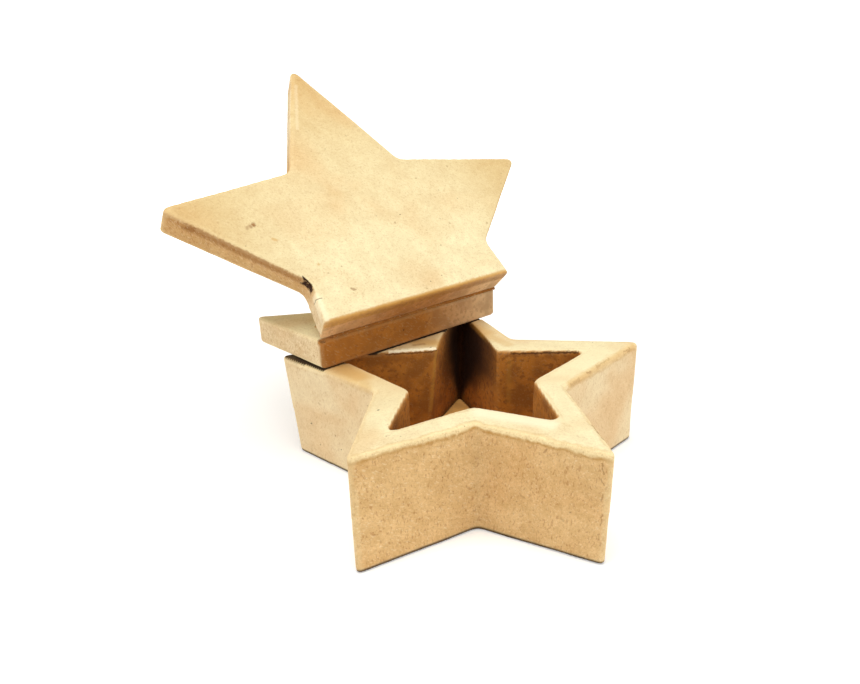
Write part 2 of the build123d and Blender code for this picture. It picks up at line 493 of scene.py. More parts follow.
def makeBoxWall(p):
    made = pressBoard("boxWall", ringTree, {
        "Foot Reach": footReach,
        "Rim Reach": star["boxReach"],
        "Cut Reach": cavityReach,
        "Tip Round": star["tipRound"],
        "Notch Round": star["notchRound"],
        "Height": star["boxHeight"],
        "Foot Round": p["footRound"],
        "Edge Round": p["edgeRound"],
        "Inner Round": p["innerRound"],
    }, p)
    points = getPoints(made.data)
    normals = getPoints(made.data, "vertex_normals", "vector")
    flat, level = points[:, :2] / mm, points[:, 2] / mm
    first, share = sectorShares(flat, (0, 0), starCorners(star["boxReach"], p["turn"]))
    reach = share.sum(1)
    share /= reach[:, None]
    rows = p["corners"].values()
    rimPush, footPush, innerPush, innerFootPush = (
        cornerPush(first, share, [row[min(i, len(row) - 1)] for row in rows]) for i in range(4))
    for sector, bulge in p["bulges"].items():
        innerPush += np.array(bulge) * (4 * share[:, :1] * share[:, 1:]) * (first == sector)[:, None]
    innerAt = cavityReach / star["boxReach"]
    outer = np.clip((reach - innerAt) / (1 - innerAt), 0, 1)[:, None]
    high = np.clip(level / star["boxHeight"], 0, 1)[:, None]
    innerPush = innerPush * high + innerFootPush * (1 - high)
    points[:, :2] += (innerPush * (1 - outer) + (rimPush * high + footPush * (1 - high)) * outer) * mm
    points[:, 2] = np.clip(points[:, 2], 0, None)
    fromOuter = (1 - reach) * edgeCircle * star["boxReach"]
    below = star["boxHeight"] - level
    underLid = (points[:, :2] / mm - np.array(cutFoot)[:2]) @ np.array(backward)[:2]
    carries = smoothStep(*p["raised"], np.minimum(fromOuter, star["wall"] - fromOuter))
    carries *= smoothStep(*p["raised"], underLid)
    lowered = smoothStep(*p["sagFrom"], underLid) * (1 - carries) * (below < p["restTop"])
    points[:, 2] -= p["sag"] * mm * lowered
    setPoints(made.data, points)
    upward = smoothStep(*flatFrom, normals[:, 2])
    inside = smoothStep(*(star["wall"] - mmBefore for mmBefore in p["insideFrom"]), fromOuter)
    fromCorner = cavityReach - 1 - flat[:, 1]
    dark = np.zeros(len(flat))
    for sector, (atFloor, more) in p["dark"].items():
        darkReach = atFloor + more * smoothStep(*p["darkRise"], high[:, 0])
        dark += (first == sector) * smoothStep(*p["darkEdge"], fromCorner / darkReach)
    paleRim, paleWalls = np.array(p["paleRim"]), np.array(p["paleWalls"])[first]
    rimPaleAndLit = paleRim[first] * share[:, 0] + paleRim[(first + 1) % len(paleRim)] * share[:, 1]
    lidShadow = smoothStep(0, p["lidShadow"][0], underLid) * (below < p["lidShadow"][1])
    fewer = p["fewerChips"]
    chips = (1 - fewer["flat"] * upward) * (1 - fewer["inside"] * inside) * (1 - fewer["pale"] * paleWalls)
    setFields(made.data, {
        "flat": upward,
        "cavity": inside * (1 - upward),
        # painted shade: the lid's shadow in the cavity's back corner, and on the rim under the lid's edge
        "deep": np.maximum(inside * (1 - upward) * dark, lidShadow),
        "shoulder": below - np.minimum(fromOuter, np.abs(star["wall"] - fromOuter)),
        "fold": np.array(p["folds"])[first] * (1 - inside),
        # paleness of rim and outer walls, partly the paper's own, partly painted light
        "pale": np.where(upward > 0.5, rimPaleAndLit, paleWalls * (1 - inside)),
        "chips": chips,
        # a dark line along the foot: dirt and painted contact shadow
        "foot": (1 - inside) * (1 - smoothStep(*p["footLine"], level)),
    })
    return made


wallPiece = makeBoxWall(boxWall)
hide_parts("box_wall")
print("box wall made", len(wallPiece.data.vertices))


# Floor board, a star that fills the foot of the cavity

floorBoard = {
    "turn": boxWall["turn"],
    "voxel": 0.6,
    "soften": 1,
    "softLevel": 1000,
    "crispLevel": 2000,
    "wave": (18.0, 0.15),
    "lump": (3.0, 0.05),
    "seed": 1.7,
    "edgeRound": 0.5,
    "groove": 0.25,  # mm, the dark gap round it
    "grooveEdge": (0.5, 0.8),  # mm from the cavity's wall over which that dark ends
    # painted shade in the gap between the floor board and the cavity's walls
    "grooveDark": 0.9,
    # painted light: towards the back the floor takes a warmer, brighter orange for the light off the
    # cavity's walls
    "shade": (5, 25),  # mm behind the centre between which the colour of the cavity's walls comes in
    "shadeMost": 0.85,
    "farIn": -20.0,  # mm, as far from the folded edge as to show nothing of it
    "pale": 0.2,
    "chips": 0.15,
}


def makeFloorBoard(p):
    reach = cavityReach - p["groove"] / edgeCircle
    made = pressBoard("floorBoard", plateTree, {
        "Foot Reach": reach,
        "Rim Reach": reach,
        "Tip Round": star["tipRound"],
        "Notch Round": star["notchRound"],
        "Height": star["floorHeight"],
        "Foot Round": p["edgeRound"],
        "Edge Round": p["edgeRound"],
    }, p)
    points = getPoints(made.data)
    normals = getPoints(made.data, "vertex_normals", "vector")
    first, share = sectorShares(points[:, :2] / mm, (0, 0), starCorners(cavityReach, p["turn"]))
    points[:, :2] += cornerPush(first, share, [row[-1] for row in boxWall["corners"].values()]) * mm
    points[:, 2] = np.clip(points[:, 2], 0, None)
    setPoints(made.data, points)
    fromEdge = (1 - share.sum(1)) * edgeCircle * cavityReach
    setFields(made.data, {
        "flat": smoothStep(*flatFrom, normals[:, 2]),
        "cavity": p["shadeMost"] * smoothStep(*p["shade"], points[:, 1] / mm),
        # painted shade along the floor board's edge, in the gap by the walls
        "deep": p["grooveDark"] * (1 - smoothStep(*p["grooveEdge"], fromEdge)),
        "shoulder": p["farIn"],
        "pale": p["pale"],
        "chips": p["chips"],
    })
    return made


floorPiece = makeFloorBoard(floorBoard)
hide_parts("floor_board")
print("floor board made", len(floorPiece.data.vertices))


# The lid, one star cut across two of its points. Both parts are made flat, with X along
# the cut and Y away from it, and then laid on their planes. Each corner has the push on
# the upper and on the lower side of that flat shape.

lidSurface = {
    "seam": (2.0, 1.2),  # mm from where the two parts meet
    "cutFacing": (0.1, 0.4),  # how much a face looks along -Y to count as the cut's
    "cutDepth": 1.5,  # mm beyond the cut that still can
    "tips": (25, 60),  # mm along the cut from its middle between which "palePoints" comes in
    "soilFrom": (8, 14),  # mm from the cut between which the painted shade on the sides begins
    "sideShadeTo": (62, 54),  # and the mm between which it ends
    "sideShadeRise": (5.0, 0.5),  # mm below the upper face between which it gets stronger
    "sideShadeLeast": 0.4,
    "fewerChips": {"flat": 0.5, "cut": 0.7},
}

lidRest = {
    "turn": 54,
    "centreY": -star["cutFromCentre"],
    "middle": (0, 3.0),
    "thickness": star["lidThickness"],
    "voxel": 0.5,
    "soften": 2,
    "softLevel": 8.0,
    "crispLevel": 8.8,
    "wave": (14.0, 0.14),
    "lump": (3.0, 0.05),
    "seed": 2.9,
    "footRound": 0.9,
    "edgeRound": 0.3,
    "corners": {
        "rightCorner": ((-1.9, -0.1), (-1.6, -0.1)),
        "rightPoint": ((0, 0), (0, 0)),
        "notch": ((0, 0), (0, 0)),
        "leftPoint": ((0.33, -0.27), (1.26, 1.65)),
        "leftCorner": ((1.33, -0.1), (1.46, -0.1)),
    },
    # pairs of mm and paleness, painted light: faces and sides by the distance from the cut, the cut along it
    "paleFace": ((0, 0.9), (40, 0.9)),
    "paleSide": ((0, 0.9), (40, 0.9)),
    "palePoints": 0.0,
    "paleCut": ((-36, 0.0), (4, 0.0), (32, 0.95)),
    # painted shade on the cut face, over the cut pulp's own darker brown
    "paintedShadeOnCut": 0.15,
    "soil": 0.1,
    "seamLevel": star["lidThickness"],
}

lidFlap = {
    "turn": 18,
    "centreY": star["cutFromCentre"],
    "middle": (0, star["cutFromCentre"]),
    "thickness": star["lidThickness"] - star["rimClearance"],
    "voxel": 0.55,
    "soften": 2,
    "softLevel": 1.4,
    "crispLevel": 0.6,
    "wave": (18.0, 0.18),
    "lump": (3.2, 0.05),
    "seed": 4.3,
    "footRound": 0.3,
    "edgeRound": 0.9,
    "corners": {
        "rightPoint": ((0.9, -2.7), (0.2, -2.8)),
        "vBackRight": ((-1.15, -0.78), (-1.1, -1.0)),
        "farPoint": ((-1.48, 1.19), (-0.6, 0.2)),
        "vBackLeft": ((-1.53, 0.89), (-0.5, 0.2)),
        "leftPoint": ((0.2, 2.35), (0.1, 1.6)),
        "vLeft": ((-0.48, 0.05), (0.28, 1.1)),
        "leftCorner": ((-0.09, 0.58), (1.15, -0.1)),
        "rightCorner": ((-0.1, -0.02), (-1.28, -0.1)),
        "vRight": ((0.9, -0.5), (0.1, -1.0)),
    },
    # painted light: the face paler low down near the cut, and the sides paler by the cut and at the far
    # point
    "paleFace": ((0, 1.0), (25, 0.85), (60, 0.55), (95, 0.0)),
    "paleSide": ((8, 0.9), (16, 0.0), (52, 0.0), (62, 1.0)),
    "palePoints": 0.5,  # painted shade: how much less pale the tips of the side points are
    "paleCut": ((-36, 0.65), (-24, 0.45), (-8, 0.12), (8, 0.2), (28, 1.0)),
    "paintedShadeOnCut": 0.0,
    "soil": 0.75,
    "seamLevel": 0,
}


def makeLidPart(name, p, cornersAt):
    made = pressBoard(name, lidTree, {
        "Foot Reach": lidReach,
        "Rim Reach": lidReach,
        "Tip Round": star["lidTipRound"],
        "Notch Round": star["lidNotchRound"],
        "Height": p["thickness"],
        "Foot Round": p["footRound"],
        "Edge Round": p["edgeRound"],
        "Centre Y": p["centreY"],
        "Cut Gap": star["cutGap"],
    }, p)
    points = getPoints(made.data)
    normals = getPoints(made.data, "vertex_normals", "vector")
    flat, level = points[:, :2] / mm, points[:, 2] / mm
    first, share = sectorShares(flat, p["middle"], cornersAt)
    high = np.clip(level / p["thickness"], 0, 1)[:, None]
    upper, lower = (cornerPush(first, share, [row[i] for row in p["corners"].values()]) for i in range(2))
    points[:, :2] += (upper * high + lower * (1 - high)) * mm
    fromStar = fromStarEdge(flat, (0, p["centreY"]), p["turn"], lidReach)
    fromCut = flat[:, 1] - star["cutGap"] / 2
    look = lidSurface
    seam = smoothStep(*look["seam"], np.abs(level - p["seamLevel"])) * smoothStep(*look["seam"], fromCut)
    facing = smoothStep(*flatFrom, np.abs(normals[:, 2])) * (1 - seam)
    cut = np.maximum(smoothStep(*look["cutFacing"], -normals[:, 1]) * (fromCut < look["cutDepth"]), seam)
    soiled = smoothStep(*look["soilFrom"], flat[:, 1]) * smoothStep(*look["sideShadeTo"], flat[:, 1])
    below = p["thickness"] - level
    stronger = look["sideShadeLeast"] + (1 - look["sideShadeLeast"]) * smoothStep(*look["sideShadeRise"], below)
    pale = {key: np.interp(flat[:, at], *zip(*p[key]))
            for key, at in (("paleFace", 1), ("paleSide", 1), ("paleCut", 0))}
    onFace = pale["paleFace"] - p["palePoints"] * smoothStep(*look["tips"], np.abs(flat[:, 0]))
    fewer = look["fewerChips"]
    setFields(made.data, {
        "flat": facing,
        # painted shade on the cut faces
        "deep": p["paintedShadeOnCut"] * cut,
        "cut": cut,
        # painted light along the cut faces, paler at their lit ends
        "paleCut": cut * pale["paleCut"],
        "shoulder": below - np.minimum(fromStar, fromCut),
        "pale": np.where(facing > 0.5, onFace, pale["paleSide"]),
        "chips": (1 - fewer["flat"] * facing) * (1 - fewer["cut"] * cut),
        # painted shade on the sides, darkest just under the upper face
        "soiled": p["soil"] * (1 - facing) * (1 - cut) * soiled * stronger,
    })
    return made, points


restStar = starCorners(lidReach, lidRest["turn"], (0, lidRest["centreY"]))
restCorners = [np.array([cutHalf, 0])] + restStar[:3] + [np.array([-cutHalf, 0])]
restPiece, restPoints = makeLidPart("lidRest", lidRest, restCorners)
setPoints(restPiece.data, intoFrame(restPoints, cutFoot, alongCut, backward, zUp))
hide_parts("lid_rest")

flapStar = starCorners(lidReach, lidFlap["turn"], (0, lidFlap["centreY"]))
flapCorners = flapStar[:6] + [np.array([-cutHalf, 0]), np.array([cutHalf, 0])] + flapStar[9:]
flapPiece, flapPoints = makeLidPart("lidFlap", lidFlap, flapCorners)
flapPoints[:, 2] += star["stripThickness"] * mm
setPoints(flapPiece.data, intoFrame(flapPoints, hinge, alongCut, flapAway, flapNormal))
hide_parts("lid_flap")
print("lid made", len(restPiece.data.vertices), len(flapPiece.data.vertices))


# The paper strip over the cut, one band that bends round the hinge line

paperStrip = {
    "columns": 60,
    "rows": 12,
    "foldSteps": 10,
    "endInsets": (5.5, 1.6),  # mm from the ends of the cut, the left one so that it stays out of sight
    "foldReach": 0.3,  # mm on each side of the hinge over which it bends
    "raggedness": 0.35,
    "seed": 7,
    "stain": (1.4, 0.7),  # mm from the hinge between which the fold's painted shade begins, darker and browner
    "foldShadeDepth": 0.3,
    "pale": 0.2,
    "chips": 0.8,
}


def makeStrip(p):
    thick, width = star["stripThickness"] * mm, star["stripWidth"] * mm
    left, right = (p["endInsets"][0] - cutHalf) * mm, (cutHalf - p["endInsets"][1]) * mm
    rng = np.random.default_rng(p["seed"])
    rings = []
    for i in range(p["columns"] + 1):
        x = left + (right - left) * i / p["columns"]
        ragged = rng.uniform(-1, 1, 2) * p["raggedness"] * mm
        section = []
        for side, away, outward in ((0, backward, zUp), (1, flapAway, flapNormal)):
            glued, bare = [], []
            for j in range(p["rows"] + 1):
                reach = (width + ragged[side]) * j / p["rows"]
                foot = hinge * mm + alongCut * x + away * reach
                bare.append(foot)
                glued.append(foot + (outward if side else -outward) * thick)
            section.append((glued, bare))
        (gluedRest, bareRest), (gluedFlap, bareFlap) = section
        bend = []
        for k in range(1, p["foldSteps"]):
            angle = math.pi * (1 - star["flapLean"] / 180) * k / p["foldSteps"]
            away = zUp * math.cos(angle) + backward * math.sin(angle)
            bend.append(hinge * mm + alongCut * x - away * thick)
        rings.append(list(reversed(gluedRest)) + bend + gluedFlap + list(reversed(bareFlap))[:-1] + bareRest)
    shape = bmesh.new()
    grid = [[shape.verts.new(point) for point in ring] for ring in rings]
    around = len(grid[0])
    for i in range(p["columns"]):
        for j in range(around):
            k = (j + 1) % around
            shape.faces.new((grid[i][j], grid[i + 1][j], grid[i + 1][k], grid[i][k]))
    for ring in (grid[0], grid[-1]):
        shape.faces.new(ring)
    bmesh.ops.recalc_face_normals(shape, faces=shape.faces)
    mesh = bpy.data.meshes.new("paperStrip")
    shape.to_mesh(mesh)
    shape.free()
    fromHinge = getPoints(mesh) / mm - np.array(hinge)
    fromHinge -= np.outer(fromHinge @ np.array(alongCut), alongCut)
    # painted shade in the fold: darker and browner towards the hinge line
    stain = smoothStep(*p["stain"], np.linalg.norm(fromHinge, axis=1))
    setFields(mesh, {"pale": p["pale"], "chips": p["chips"], "cut": stain, "deep": p["foldShadeDepth"] * stain})
    return addObject("paperStrip", mesh)


stripPiece = makeStrip(paperStrip)
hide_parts("strip_rest_leaf", "strip_flap_leaf")
print("strip made")


# Papier-mache: brown kraft pulp pressed in a mould, dried and covered with kraft paper. To
# the eye it is matt tan board, with faint pale and dark chips of fibre and small specks, a
# paler ragged band where the paper is folded over the edges, and brown pulp in the cuts.

# Some of these colours paint light and shade, as noted beside them.
kraftPulp = {
    "wall": "#E6C28A",
    # paler tones for walls and faces where "pale" says: partly the paper's own, partly painted light on tops
    # and side walls
    "paleWall": "#EBD8B0",
    "face": "#CFB076",
    "paleFace": "#F0E5B9",
    # the cavity's walls: darker, partly the inner pulp's own tone, partly painted shade inside the box
    "cavity": "#BC782C",
    # painted shade: the near-black brown that stands in for shadow, in gaps and on the foot's dark line
    "deep": "#200A02",
    "cut": "#B8742C",
    # painted light on the cut faces
    "paleCut": "#E6C090",
    "mottle": "#B58648",
    # painted shade on the lid's sides
    "soil": "#B27F4A",
    "warm": "#D39A58",
    "fold": "#F5E0AC",
    "foldLine": "#B5843F",
    # paler tone where edges stand out: wear and painted highlight
    "worn": "#F0DCAA",
    "grime": "#6A3E1A",
    "paleChip": "#F0DFB6",
    "darkChip": "#A06A30",
    "redChip": "#9A5522",
    "speck": "#55301A",
    # name: size along and across in mm, detail, twist, turn in degrees, shift in mm
    "noises": {
        "cloud": (26.0, 26.0, 2.0, 0.5, 0, 3),
        "mottle": (7.0, 7.0, 3.0, 0.3, 0, 0),
        "pulp": (1.9, 1.9, 2.0, 0.0, 0, 57),
        "grain": (0.55, 0.55, 2.0, 0.0, 0, 111),
        "ragged": (1.4, 1.4, 3.0, 0.0, 0, 231),
        "wander": (7.0, 7.0, 2.0, 0.0, 0, 343),
        "darkA": (1.9, 0.50, 1.0, 0.6, 25, 20),
        "darkB": (1.7, 0.45, 1.0, 0.6, 85, 141),
        "darkC": (1.8, 0.50, 1.0, 0.6, 145, 262),
        "paleA": (1.8, 0.45, 1.0, 0.6, 50, 383),
        "redA": (1.5, 0.6, 1.0, 0.4, 105, 525),
    },
    # name: what it reads, from and to, what these become
    "ramps": {
        "warmth": ("cloud", 0.42, 0.72, 0.0, 0.35),
        "mottled": ("mottle", 0.35, 0.7, 0.0, 0.28),
        "pulped": ("pulp", 0.35, 0.7, 0.0, 0.18),
        "grained": ("grain", 0.35, 0.7, 0.0, 0.20),
        "patches": ("wander", 0.42, 0.66, 0.0, 0.55),
        "smudges": ("ragged", 0.48, 0.66, 0.0, 0.55),
        "darkChipA": ("darkA", 0.58, 0.74, 0.0, 0.25),
        "darkChipB": ("darkB", 0.58, 0.74, 0.0, 0.25),
        "darkChipC": ("darkC", 0.59, 0.75, 0.0, 0.25),
        "paleChips": ("paleA", 0.56, 0.72, 0.0, 0.35),
        "redChips": ("redA", 0.58, 0.71, 0.0, 0.35),
        # paler on edges that stand out: wear and painted highlight
        "rubbed": ("worn", 0.05, 0.16, 0.0, 0.5),
        # darker where the surface lies below what is around it
        "dirty": ("worn", -0.22, -0.08, 0.1, 0.0),
        "roughness": ("grain", 0.3, 0.7, 0.78, 0.92),
    },
    "specks": {"specks": (3.4, 0.09, 0.3), "dots": (1.36, 0.16, 0.25)},  # mm apart, size, share of cells
    # the folded paper: mm over the edge from the upper face down the wall, softness, strength of its line
    "foldBand": {"upperSide": (-1.0, 0.6, 0.25), "lowerSide": (2.0, 0.9, 0.6)},
    "foldWander": {"ragged": 1.2, "wander": 3.4},  # mm by which two noises move both sides
    "foldLineEdge": (0.1, 0.9),  # mm
    "strengths": {
        "lineStrength": 2.2,
        "speckStrength": 0.85,
        "dotStrength": 0.3,
        "footStrength": 0.9,
        "cutStain": 0.6,
        "paintedShadeStrength": 0.95,
        "grainRelief": 0.5,
    },
    "bump": 0.10,  # mm
    "bumpStrength": 0.6,
    "specular": 0.1,
    "sheen": 0.02,
    "sheenRoughness": 0.6,
    "markColours": {
        "ochre": "#C6923F",
        "pale": "#F6EAC6",
        "grey": "#77664E",
        "brown": "#8A5626",
        "dark": "#2E1608",
    },
    "markRagged": (0.9, 0.5),  # mm, size and height of the waves in a mark's outline
    "markDepth": 1.2,  # mm off its sheet to which a mark reaches
    "markCore": 0.15,  # part of its radius with full strength
}

# Marks that the photo shows, in mm on the plane of a face, which stands upright unless it
# says where up is: colour, radius, strength, and a place, or two places that a streak joins

rimMarks = {
    "origin": (0, 0, 35.3),
    "right": (1, 0, 0),
    "up": (0, 1, 0),
    "marks": (
        ("ochre", 6.0, 0.60, (-38.2, 6.2), (-32.5, -0.5)),
        ("ochre", 3.5, 0.35, (-31.7, -1.3), (-30.5, -8.0)),
        ("dark", 0.55, 0.80, (-10.7, 19.4)),
        ("brown", 1.2, 0.50, (13.4, 13.2), (17.0, 13.4)),
        ("brown", 0.45, 0.55, (30.4, -32.6), (31.7, -40.2)),
        ("ochre", 1.7, 0.40, (29.2, -8.0), (54.0, 17.0)),
        ("brown", 0.45, 0.30, (29.6, -7.6), (32.4, -4.6)),
        ("brown", 0.45, 0.45, (35.4, -1.4), (36.6, -0.2)),
        ("brown", 0.40, 0.30, (39.0, 2.4), (44.0, 7.6)),
        ("brown", 0.40, 0.40, (50.0, 13.0), (52.4, 15.4)),
        # painted highlight on the brightest part of the front rim
        ("pale", 4.5, 0.80, (2.0, -24.5), (19.0, -31.5)),
        # painted shade on the rim beneath the lid, golden brown with ochre mottling
        ("ochre", 5.0, 0.50, (1.0, 38.0), (8.0, 30.0)),
        ("ochre", 3.0, 0.40, (9.0, 27.0), (14.0, 20.0)),
        # painted shade on the ledge, darker towards the lid
        ("ochre", 4.5, 0.60, (-15.0, 24.0), (-10.0, 23.0)),
        ("brown", 1.2, 0.45, (-16.0, 21.6), (-13.0, 22.4)),
        ("dark", 0.5, 0.75, (-26.2, -21.3)),
        ("dark", 0.5, 0.75, (20.0, -3.8)),
    ),
}

innerRightMarks = {
    "origin": (13.6, 13.8, 35.3),
    "right": (0.999, -0.04, 0),
    "marks": (
        ("dark", 0.55, 0.80, (1.0, -1.0), (22.0, -0.7)),
        ("brown", 1.0, 0.60, (0.5, -1.6), (9.0, -1.3)),
        # painted highlight down the cavity's corner
        ("ochre", 1.2, 0.25, (0.5, -3.0), (0.5, -18.0)),
    ),
}

innerLeftMarks = {
    "origin": (-24.0, 17.0, 35.3),
    "right": (0.9987, 0.05, 0),
    "marks": (
        # painted highlight along the lit inner edge of the rim
        ("pale", 0.55, 0.95, (0.0, -0.3), (15.0, -0.2)),
        ("dark", 0.40, 0.60, (-1.0, -1.1), (15.0, -1.0)),
        # painted highlight down the cavity's corner
        ("ochre", 1.2, 0.50, (15.2, -1.5), (12.9, -22.0)),
    ),
}

leftWallMarks = {
    "origin": (-56.9, 17.5, 35.3),
    "right": (0.7856, -0.6188, 0),
    "marks": (
        ("dark", 0.55, 0.75, (9.5, -22.1)),
        ("brown", 0.6, 0.60, (20.4, -22.5)),
        ("brown", 0.9, 0.30, (14.4, -12.9)),
        ("brown", 0.7, 0.30, (16.7, -15.7)),
        ("grey", 0.9, 0.25, (1.0, -0.9), (6.0, -1.1)),
    ),
}

frontRightMarks = {
    "origin": (-0.1, -30.6, 35.3),
    "right": (0.8871, -0.4615, 0),
    "marks": (
        ("brown", 0.35, 0.50, (34.2, -3.4), (34.6, -6.2)),
        ("brown", 0.35, 0.50, (34.2, -8.0), (34.9, -9.4)),
        ("brown", 0.35, 0.45, (34.9, -12.4), (34.5, -14.6)),
        ("brown", 0.30, 0.40, (35.0, -18.4), (34.8, -22.4)),
        ("brown", 0.30, 0.35, (34.4, -25.4), (34.6, -27.0)),
        ("brown", 0.45, 0.40, (19.6, -2.9), (19.2, -4.0)),
        ("brown", 0.45, 0.35, (12.8, -19.7), (13.9, -20.2)),
        ("brown", 0.45, 0.30, (24.1, -23.4), (24.9, -24.2)),
    ),
}

restFrontMarks = {
    "origin": (-15.73, 25.55, 35.3),
    "right": (0.809, 0.5878, 0),
    "marks": (
        ("dark", 0.65, 0.75, (-4.3, 4.8)),
        ("brown", 0.8, 0.80, (5.0, 5.0)),
        ("dark", 0.5, 0.50, (-34.6, 9.1), (-33.4, 8.9)),
    ),
}

flapFaceMarks = {
    "origin": (-12.04, 20.47, 52.23),
    "right": (0.809, 0.5878, 0),
    "up": (-0.4409, 0.6069, 0.6613),
    "depth": 2.5,
    "marks": (
        ("brown", 1.0, 0.45, (-44.3, 37.4)),
        ("brown", 1.1, 0.60, (-43.1, 37.7)),
        ("brown", 1.1, 0.85, (-42.0, 38.0)),
        # painted shadow along the left point's lower edge
        ("brown", 0.6, 0.65, (-64.3, 45.3), (-58.8, 41.0)),
        ("brown", 0.5, 0.45, (-58.6, 40.8), (-36.0, 17.0)),
        ("dark", 0.5, 1.00, (-35.3, 17.2), (-34.2, 14.9)),
        ("dark", 0.55, 1.00, (-34.2, 14.9), (-34.0, 12.6)),
        ("grey", 0.35, 0.80, (-34.6, 9.1), (-33.0, 8.8)),
        ("ochre", 1.1, 0.65, (-35.0, 0.9), (34.6, 1.0)),
        # painted shade on the cut's rounded edge
        ("brown", 1.3, 0.50, (-35.0, -0.3), (34.6, -0.3)),
        ("pale", 1.0, 0.25, (-3.4, 89.0), (-11.5, 71.0)),
        ("pale", 1.6, 0.50, (-34.0, 10.0), (-34.6, 2.0)),
        ("dark", 0.5, 0.70, (34.9, 0.0)),
        ("brown", 0.5, 0.50, (36.6, 46.2)),
        ("brown", 0.5, 0.50, (21.5, 43.6)),
        ("brown", 0.5, 0.55, (24.2, 23.6)),
        ("brown", 0.5, 0.50, (4.2, 28.5)),
        ("brown", 0.6, 0.55, (38.7, 20.3)),
        ("brown", 0.6, 0.60, (-22.4, 9.2), (-21.4, 8.8)),
        ("ochre", 0.8, 0.50, (-38.4, 31.8), (-37.6, 31.2)),
        ("ochre", 0.7, 0.50, (-28.5, 20.0)),
        ("brown", 0.5, 0.45, (-26.9, 16.3)),
        ("brown", 0.5, 0.50, (2.2, 2.8)),
    ),
}


def addMarks(tree, coords, p, sheets):  # how strongly each colour of mark covers a point
    waveSize, waveHeight = p["markRagged"]
    warp = addNode(tree, "ShaderNodeTexNoise", {
        "Vector": coords, "Scale": 1 / (waveSize * mm), "Detail": 1.0,
    })
    half = (0.5, 0.5, 0.5)
    centred = addNode(tree, "ShaderNodeVectorMath", (warp.outputs["Color"], half), operation="SUBTRACT")
    ragged = addNode(tree, "ShaderNodeVectorMath", {0: centred, "Scale": waveHeight * 2}, operation="SCALE")
    perMm = (1 / mm, 1 / mm, 1 / mm)
    inMm = addNode(tree, "ShaderNodeVectorMath", (coords, perMm, ragged), operation="MULTIPLY_ADD")
    cover = {colour: 0.0 for colour in p["markColours"]}
    for sheet in sheets:
        right, up = Vector(sheet["right"]), Vector(sheet.get("up", zUp))
        depth = sheet.get("depth", p["markDepth"])
        rel = addNode(tree, "ShaderNodeVectorMath", (inMm, sheet["origin"]), operation="SUBTRACT")
        parts = [addNode(tree, "ShaderNodeVectorMath", (rel, axis), operation="DOT_PRODUCT")
                 for axis in (right, up, right.cross(up))]
        onSheet = addNode(tree, "ShaderNodeCombineXYZ", (
            parts[0].outputs["Value"], parts[1].outputs["Value"],
        ))
        off = addNode(tree, "ShaderNodeMath", (parts[2].outputs["Value"],), operation="ABSOLUTE")
        near = addNode(tree, "ShaderNodeMapRange", (off, depth, depth + 1, 1.0, 0.0))
        for colour, radius, strength, *places in sheet["marks"]:
            start = Vector((*places[0], 0))
            nearest = start
            if len(places) == 2:
                reach = Vector((*places[1], 0)) - start
                slope = reach / reach.length_squared
                passed = addNode(tree, "ShaderNodeVectorMath", (onSheet, slope), operation="DOT_PRODUCT")
                begin = start.dot(slope)
                share = addNode(tree, "ShaderNodeMapRange", (passed.outputs["Value"], begin, begin + 1))
                point = (share, reach, start)
                nearest = addNode(tree, "ShaderNodeVectorMath", point, operation="MULTIPLY_ADD")
            far = addNode(tree, "ShaderNodeVectorMath", (onSheet, nearest), operation="DISTANCE")
            fade = (far.outputs["Value"], radius * p["markCore"], radius, strength, 0.0)
            spot = addNode(tree, "ShaderNodeMapRange", fade, **smooth)
            kept = addNode(tree, "ShaderNodeMath", (spot, near), operation="MULTIPLY")
            cover[colour] = addNode(tree, "ShaderNodeMath", (kept, cover[colour]), operation="MAXIMUM")
    return {colour + "Mark": amount for colour, amount in cover.items()}


